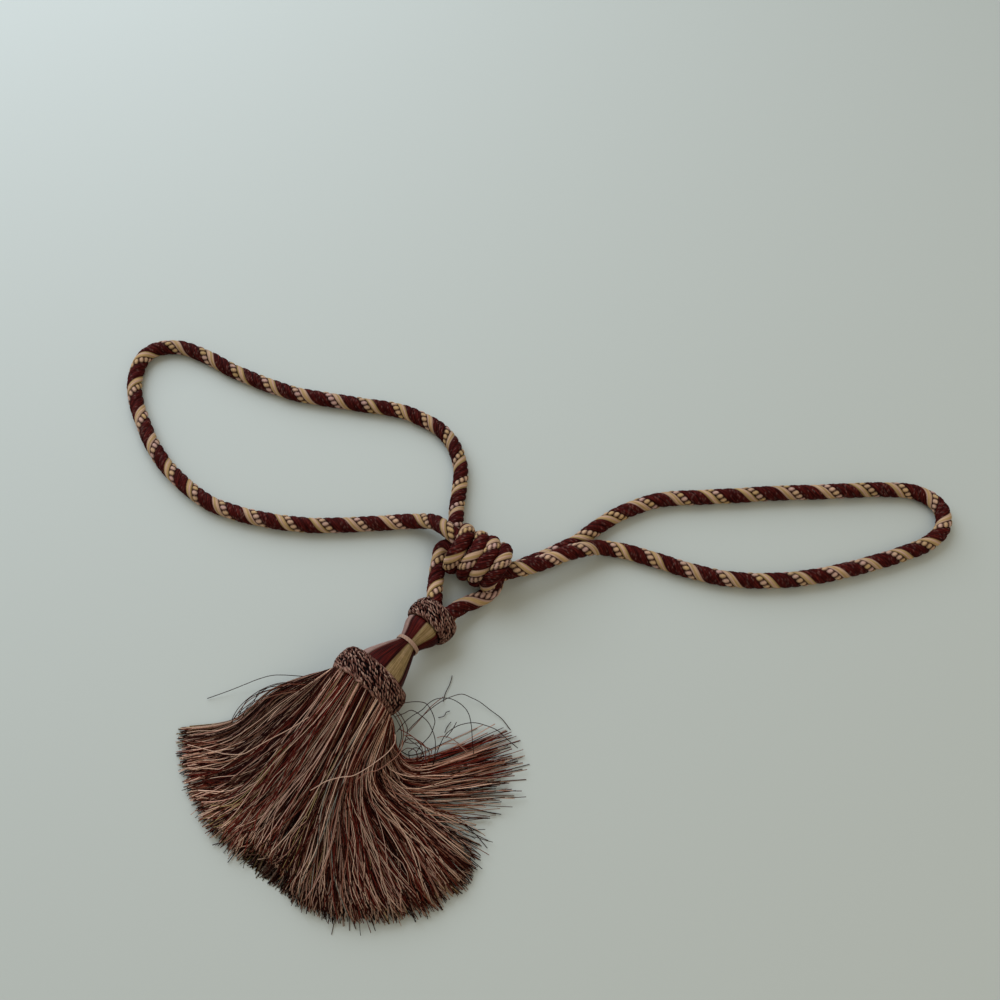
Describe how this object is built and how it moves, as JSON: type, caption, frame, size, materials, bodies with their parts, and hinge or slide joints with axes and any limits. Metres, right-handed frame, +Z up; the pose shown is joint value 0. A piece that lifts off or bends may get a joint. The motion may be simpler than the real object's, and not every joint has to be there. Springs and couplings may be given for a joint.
{
  "type": "curtain tieback tassel",
  "caption": "Twisted cord knotted into two long loops, with a hanging tassel: braided ruffs, a waisted satin neck and a fanned fringe skirt.",
  "frame": {"origin": "on the surface that the tieback lies on, under the middle of the fanned skirt", "axes": "+Z up from the surface; X along the two loops, from the one near the skirt's side at -X to the straighter one at +X; +Y from the skirt to the knot"},
  "size_m": [0.5119, 0.3465, 0.0389],
  "materials": {
    "cord": "rayon rope of dark red, cream and beaded yarns twisted to the right",
    "braid": "braided rayon yarns in cream, rose and dark red",
    "satin": "smooth yarns laid lengthwise in cream, rose, gold and dark red panels",
    "thread": "fine cream and rose binding thread",
    "fringe": "soft twisted rayon yarns in rose, cream, gold and dark red"
  },
  "bodies": {
    "root": {"left_loop": "cord", "right_loop": "cord", "left_hanger": "cord", "right_hanger": "cord", "knot": "cord", "collar": "braid", "ruff": "braid", "neck": "satin", "waist_tie": "thread", "skirt": "fringe"}
  },
  "joints": []
}
